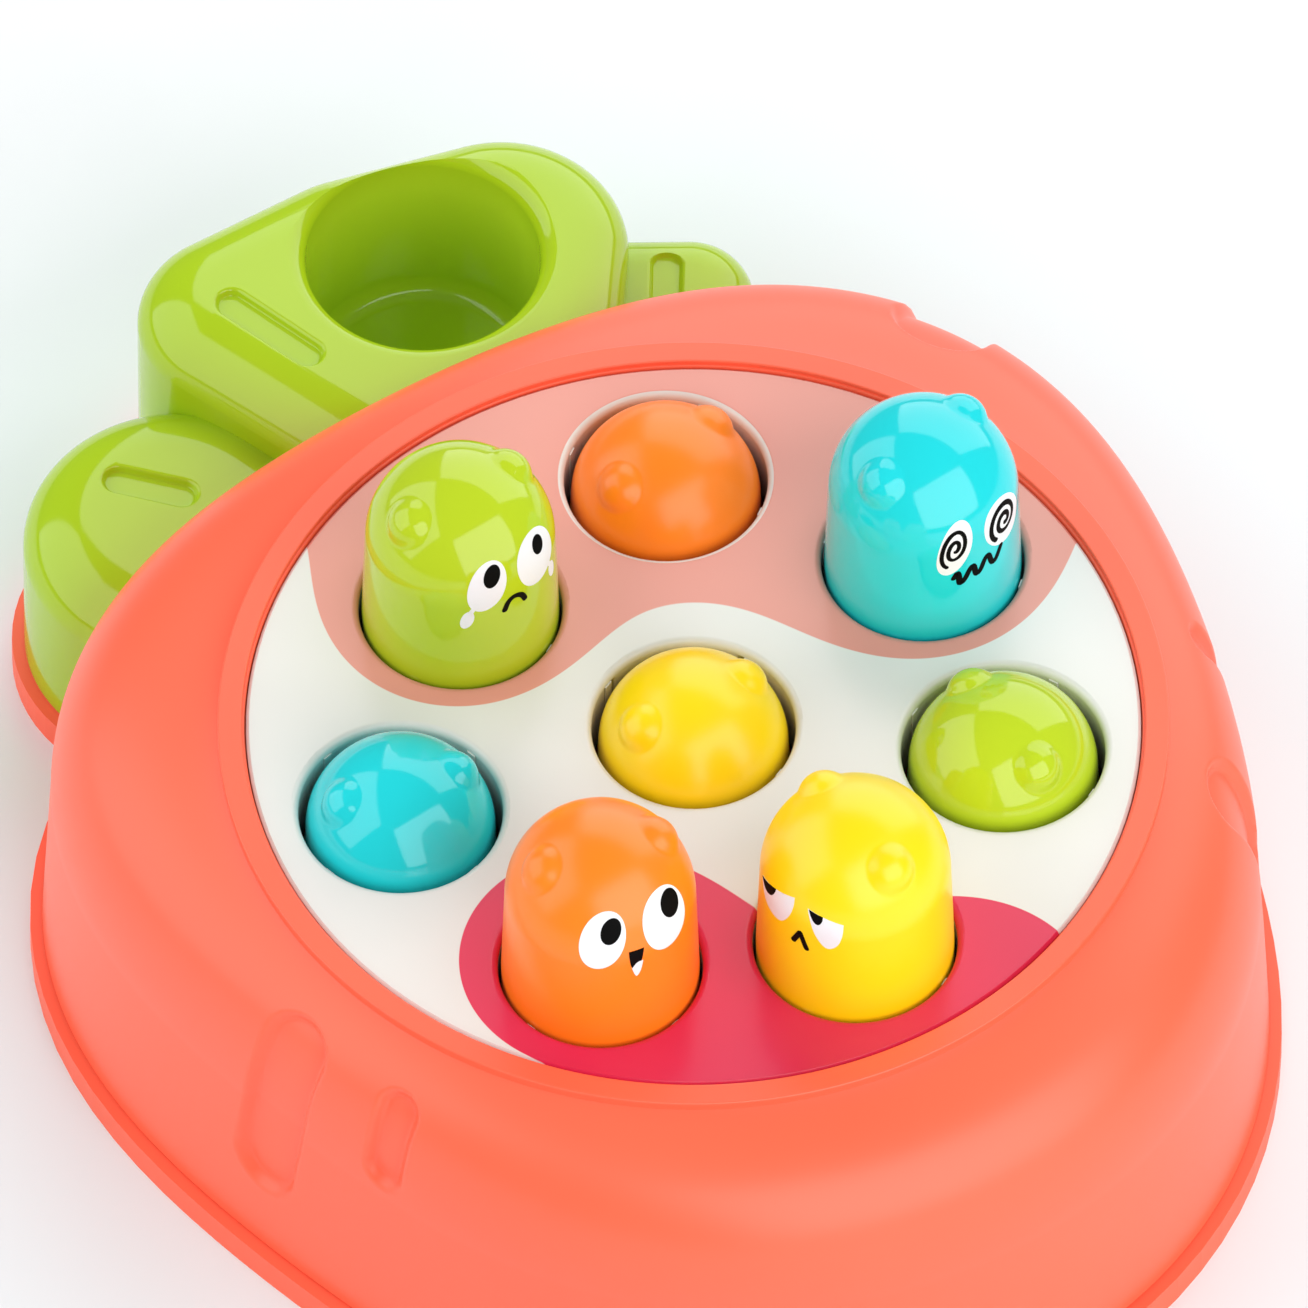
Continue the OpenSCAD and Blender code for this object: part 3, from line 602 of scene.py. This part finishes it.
def shell_ring(angle):
    """One section through the shell: up the outside, over the rim, and down the inside."""
    wall = wall_reach(angle)
    # A step at the foot leaves a fine dark gap above the tray's flange
    section = [(wall - SHELL_WALL, FLANGE_H), (wall - FOOT_STEP, FLANGE_H),
               (wall - FOOT_STEP, FLANGE_H + FOOT_GAP), (wall - TINY, FLANGE_H + FOOT_GAP)]
    length, before = 0.0, None
    for run in RUNS:
        place, out = flank(angle, run)
        length += (place - before).length if before else 0.0
        before = place
        place = place - out * pocket_depth(angle, place[0], length)
        section.append((place[0], place[1]))
    # Rounded edges are arcs, with a point just beyond either end that keeps the flat between them flat
    inner = SEAT_WALL_R + LEDGE_W
    arc = [(math.sin(a), 1 - math.cos(a))
           for a in (math.pi / 2 * k / EDGE_STEPS for k in range(EDGE_STEPS + 1))]
    section += [(RIM_R, RIM_Z - RIM_STEP + TINY), (RIM_R, RIM_Z - RIM_EDGE - TINY)]
    section += [(RIM_R - RIM_EDGE * down, RIM_Z - RIM_EDGE * (1 - along)) for along, down in arc]
    section += [(RIM_R - RIM_EDGE - TINY, RIM_Z), (inner + RIM_EDGE + TINY, RIM_Z)]
    section += [(inner + RIM_EDGE * (1 - along), RIM_Z - RIM_EDGE * down) for along, down in arc]
    section += [(inner, RIM_Z - RIM_EDGE - TINY), (inner, LEDGE_Z + TINY / 2), (inner, LEDGE_Z),
                (inner - TINY / 2, LEDGE_Z), (SEAT_WALL_R + 2 * TINY, LEDGE_Z),
                (SEAT_WALL_R, LEDGE_Z - 2 * TINY)]
    section += [(SEAT_WALL_R, SEAT_Z), (SEAT_R, SEAT_Z)]
    section += [(SEAT_R, SEAT_Z - SHELL_WALL), (SEAT_WALL_R, SEAT_Z - SHELL_WALL)]
    for step in range(1, INSIDE_STEPS + 1):
        place, out = flank(angle, 1 - step / INSIDE_STEPS)
        place = place - out * SHELL_WALL
        section.append((place[0], place[1]))
    return [in_plan(reach, angle, height) for reach, height in section]


turns = set(range(0, 360 * STEPS_A_DEGREE, STEPS_A_DEGREE))
for degrees, half, low, high, narrowing, lean in POCKETS:
    middle = degrees * STEPS_A_DEGREE
    spread = math.degrees((half + abs(lean) + POCKET_SPARE) / POCKET_REACH) * STEPS_A_DEGREE
    turns.update(range(int(middle - spread), int(middle + spread), POCKET_STEP))
shell_rings = [shell_ring(math.radians(step / STEPS_A_DEGREE)) for step in sorted(turns)]
# Sections run up the outside, so they are skinned the other way round to face outwards
shell_points, shell_faces = skin([ring[::-1] for ring in shell_rings], run_closed=True)
coral = moulded("coral_plastic", CORAL, 0.36)
shell = solid("body_shell", [(shell_points, shell_faces, 0)], [coral], sharp=50)
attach(shell, "body")
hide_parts("top_shell")

# Leaf crown: three glossy green leaves in one moulding behind the body, with a round cup in the middle
# leaf and a pressed groove in each. Three screws hold it down to the tray, which covers its hollow
# underside, so the mesh is closed there.
LEAF_Z = 62.0
SIDE_LEAF_Z = 48.0
LEAF_ROUND = 11.0
LEAF_GAP = 0.5
LEAF_TURNS = 240
ROUND_STEPS = 18
FOOT_BEVEL = 0.3
FOOT_CLEAR = 0.05
BODY_STEPS = 24
BACK_Y = wall_reach(math.pi)
CUP = (23.0, BACK_Y + 26.4)
CUP_R = 23.5
CUP_DEPTH = 44.0
CUP_ROUND = 4.0
CUP_FLOOR_ROUND = 4.0
CUP_TURNS = 160
CUP_STEPS = 10
# Painted light: the paler green painted over the inside of the cup, in place of light bouncing between its
# walls
CUP_PAINTED_LIGHT = (186, 216, 46)
GROOVE_HALF = 3.3
GROOVE_DEPTH = 1.6
GROOVE_STEPS = 20
# Leaves: the outline round a few circles (across, along and radius), the height of the top, and how far
# in from the edge the rounding starts
LEAVES = [
    ([(-14, BACK_Y + 36.5, 20), (12, BACK_Y + 30, 26.5), (40, BACK_Y + 24.5, 25.5),
      (11.8, BACK_Y - 20.5, 22.5)], LEAF_Z, 14.0),
    ([(-47.5, BACK_Y + 4.5, 30.5), (-38, BACK_Y - 24, 30)], SIDE_LEAF_Z, 14.0),
    ([(71, BACK_Y + 3, 13), (37, BACK_Y + 23, 13), (38, BACK_Y - 24, 30)], SIDE_LEAF_Z, 11.0),
]
GROOVES = [
    ((-16.5, BACK_Y + 34.5), (-10, BACK_Y + 16), LEAF_Z),
    ((-53, BACK_Y + 17.5), (-44, BACK_Y + 8), SIDE_LEAF_Z),
    ((68, BACK_Y + 7), (61, BACK_Y - 4), SIDE_LEAF_Z),
]


def stack(rings):
    """A closed surface through rings that stand one above the other."""
    points, faces = skin(rings)
    count = len(rings[0])
    top = len(points) - count
    return points, faces + [tuple(reversed(range(count))), tuple(range(top, top + count))]


def leaf_outline(circles, inset, height):
    outline = []
    for i in range(LEAF_TURNS):
        a = math.tau * i / LEAF_TURNS
        x, y, r = max(circles, key=lambda c: c[0] * math.cos(a) + c[1] * math.sin(a) + c[2])
        outline.append((x + (r - inset) * math.cos(a), y + (r - inset) * math.sin(a), height))
    return outline


def leaf_lobe(circles, top, run):
    foot = FLANGE_H + FOOT_CLEAR
    rings = [leaf_outline(circles, FOOT_BEVEL, foot), leaf_outline(circles, 0.0, foot + FOOT_BEVEL)]
    for k in range(ROUND_STEPS + 1):
        a = math.pi / 2 * k / ROUND_STEPS
        rings.append(leaf_outline(circles, run * (1 - math.cos(a)), top - LEAF_ROUND * (1 - math.sin(a))))
    return stack(rings)


def body_outline(out, height, run=None):
    ring = []
    for i in range(LEAF_TURNS):
        angle = math.tau * i / LEAF_TURNS
        if run is None:
            ring.append(in_plan(wall_reach(angle) + out, angle, height))
        else:
            place, way = flank(angle, run)
            place = place + way * out
            ring.append(in_plan(place[0], angle, place[1]))
    return ring


def round_cutter(x, y, profile):
    angles = [math.tau * i / CUP_TURNS for i in range(CUP_TURNS)]
    return stack([[(x + r * math.cos(a), y + r * math.sin(a), z) for a in angles] for r, z in profile])


def groove_cutter(start, end, top):
    """A capsule with soft edges: each ring is a capsule's outline, wider the higher it is."""
    way = math.atan2(end[1] - start[1], end[0] - start[0])
    profile = [(-1.8, -GROOVE_DEPTH), (-1.3, -GROOVE_DEPTH), (-0.7, 0.15 - GROOVE_DEPTH),
               (-0.4, 0.5 - GROOVE_DEPTH), (-0.25, -0.7), (-0.1, -0.4), (0.15, -0.15), (0.6, 0.0),
               (1.2, 0.05), (1.2, 2.0)]
    rings = []
    for grow, height in profile:
        r = GROOVE_HALF + grow
        arc = [(end, way - math.pi / 2 + math.pi * k / GROOVE_STEPS) for k in range(GROOVE_STEPS + 1)]
        arc += [(start, way + math.pi / 2 + math.pi * k / GROOVE_STEPS) for k in range(GROOVE_STEPS + 1)]
        rings.append([(c[0] + r * math.cos(a), c[1] + r * math.sin(a), top + height) for c, a in arc])
    return stack(rings)


def carve(piece, operation, shape):
    """Joins a closed surface to a piece, or cuts it out of the piece."""
    tool = solid("tool", [(*shape, 0)], [])
    step = piece.modifiers.new("carve", "BOOLEAN")
    step.operation = operation
    step.solver = "EXACT"
    step.object = tool
    after = bpy.data.meshes.new_from_object(piece.evaluated_get(bpy.context.evaluated_depsgraph_get()))
    piece.modifiers.clear()
    piece.data = after
    bpy.data.objects.remove(tool)


def cup_painted_light(place, base):
    """Painted light: a paler green inside the cup, standing in for the light that gathers between its
    walls.
    """
    axes = place.add("ShaderNodeSeparateXYZ", sockets={0: place})
    x, y = axes - CUP[0] * MM, Wire(axes.tree, axes.socket.node.outputs[1]) - CUP[1] * MM
    z = Wire(axes.tree, axes.socket.node.outputs[2])
    inside = 1 - x.sum("SQRT", x * x + y * y).rise((CUP_R + 0.2) * MM, (CUP_R + CUP_ROUND) * MM)
    inside = inside * (1 - z.rise((LEAF_Z - 3 * CUP_ROUND) * MM, LEAF_Z * MM))
    return base.blend(inside, base, screen(*CUP_PAINTED_LIGHT))


# The leaf green carries painted light: a paler tone painted inside the cup
leaf_green = moulded("leaf_green_gloss", (164, 196, 28), 0.1, drift=0.04, skin=0.01, paint=cup_painted_light)
crown = solid("leaf_crown_moulding", [(*leaf_lobe(*LEAVES[0]), 0)], [leaf_green])
for leaf in LEAVES[1:]:
    carve(crown, "UNION", leaf_lobe(*leaf))
body_rings = [body_outline(LEAF_GAP, FLANGE_H - 2), body_outline(LEAF_GAP, FLANGE_H + SHELL_EDGE)]
body_rings += [body_outline(LEAF_GAP, 0.0, k / BODY_STEPS) for k in range(BODY_STEPS + 1)]
carve(crown, "DIFFERENCE", stack(body_rings))
cup_angles = [math.pi / 2 * k / CUP_STEPS for k in range(CUP_STEPS + 1)]
lip = [(CUP_R + CUP_ROUND * (1 - math.cos(a)), LEAF_Z - CUP_ROUND * (1 - math.sin(a))) for a in cup_angles]
floor = [(CUP_R - CUP_FLOOR_ROUND * (1 - math.sin(a)),
          LEAF_Z - CUP_DEPTH + CUP_FLOOR_ROUND * (1 - math.cos(a))) for a in cup_angles]
carve(crown, "DIFFERENCE", round_cutter(*CUP, floor + lip + [(CUP_R + CUP_ROUND, LEAF_Z + 2)]))
for start, end, top in GROOVES:
    carve(crown, "DIFFERENCE", groove_cutter(start, end, top))
crown.data.shade_smooth()
crown.data.set_sharp_from_angle(angle=math.radians(35))
level_tops = crown.modifiers.new("level_tops", "WEIGHTED_NORMAL")
level_tops.keep_sharp = True
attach(crown, "body")
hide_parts("leaf_crown")

# Case and leaf screws: plain steel screws sunk in the tray from below, six into the panel's bosses and
# three into the leaf crown.
dress("case_screws", steel)
dress("leaf_screws", steel)

# Studio: a pale floor, three leaning softboxes round the toy and a soft sky, with a long lens far
# away, so that the view is almost without perspective.
FRAME_WIDTH = 258.3 * MM
CAMERA_AWAY = 11.5
CAMERA_RISE = math.radians(53.13)
# Middle of the picture: mm across and up in the picture from a point over the toy's middle, and the
# height of that point
LOOK_AT = (-7.8, 13.8, 82.0)
FLOOR_HALF = 4.0
# Painted light on the floor: a cooler tone near the toy against its warm bounce, fading out between these
# distances in metres
COOL_NEAR = 0.12
COOL_FAR = 0.3


def floor_painted_light(place, base):
    """Painted light: a cooler tone painted near the toy, which evens out the warm light that comes back
    from its walls.
    """
    axes = place.add("ShaderNodeSeparateXYZ", sockets={0: place})
    x, y = axes, Wire(axes.tree, axes.socket.node.outputs[1])
    away = x.sum("SQRT", x * x + y * y).rise(COOL_NEAR, COOL_FAR)
    return base.blend(away, screen(221, 234, 236), base)


floor_mesh = bpy.data.meshes.new("floor")
floor_corners = [(x * FLOOR_HALF, y * FLOOR_HALF, 0) for x, y in ((-1, -1), (1, -1), (1, 1), (-1, 1))]
floor_mesh.from_pydata(floor_corners, [], [(0, 1, 2, 3)])
floor_mesh.materials.append(moulded("pale_floor", (230, 231, 233), 0.6, drift=0.05, skin=0.0,
                                    paint=floor_painted_light))
floor_piece = bpy.data.objects.new("floor", floor_mesh)
floor_piece.location.z = cad_box[0][2]
bpy.context.scene.collection.objects.link(floor_piece)

across = Vector((math.cos(VIEW_TURN), -math.sin(VIEW_TURN), 0))
back = Vector((math.sin(VIEW_TURN), math.cos(VIEW_TURN), 0))
upward = back * math.sin(CAMERA_RISE) + Vector((0, 0, math.cos(CAMERA_RISE)))
towards = -back * math.cos(CAMERA_RISE) + Vector((0, 0, math.sin(CAMERA_RISE)))
look_at = Vector((0, 0, LOOK_AT[2] * MM)) + LOOK_AT[0] * MM * across + LOOK_AT[1] * MM * upward
camera = bpy.data.objects.new("camera", bpy.data.cameras.new("camera"))
camera.data.sensor_width = 36.0
camera.data.lens = camera.data.sensor_width * CAMERA_AWAY / FRAME_WIDTH
camera.data.clip_end = 3 * CAMERA_AWAY
camera.location = look_at + CAMERA_AWAY * towards
camera.rotation_euler = towards.to_track_quat("Z", "Y").to_euler()
bpy.context.scene.collection.objects.link(camera)
bpy.context.scene.camera = camera

SOFTBOX_SIZE = (1.22, 0.94)
SOFTBOX_OUT = 0.74
SOFTBOX_UP = 0.51
SOFTBOX_LEAN = math.radians(34)
# Softboxes: the way that each stands, in degrees, and its power in watts
SOFTBOXES = {"front": (-85, 10.2), "right": (37, 7.4), "left": (148, 6.8)}
for name, (degrees, power) in SOFTBOXES.items():
    lamp = bpy.data.lights.new(f"softbox_{name}", "AREA")
    lamp.shape = "RECTANGLE"
    lamp.size, lamp.size_y = SOFTBOX_SIZE
    lamp.energy = power
    box = bpy.data.objects.new(lamp.name, lamp)
    out = Vector((math.cos(math.radians(degrees)), math.sin(math.radians(degrees)), 0))
    box.location = SOFTBOX_OUT * out + Vector((0, 0, SOFTBOX_UP))
    lean = out * math.cos(SOFTBOX_LEAN) + Vector((0, 0, math.sin(SOFTBOX_LEAN)))
    box.rotation_euler = lean.to_track_quat("Z", "Y").to_euler()
    bpy.context.scene.collection.objects.link(box)

sky = bpy.data.worlds.new("sky")
sky.use_nodes = True
sky.node_tree.nodes["Background"].inputs["Color"].default_value = (0.97, 0.98, 1.0, 1.0)
sky.node_tree.nodes["Background"].inputs["Strength"].default_value = 0.18
bpy.context.scene.world = sky
bpy.context.scene.view_settings.view_transform = "Standard"
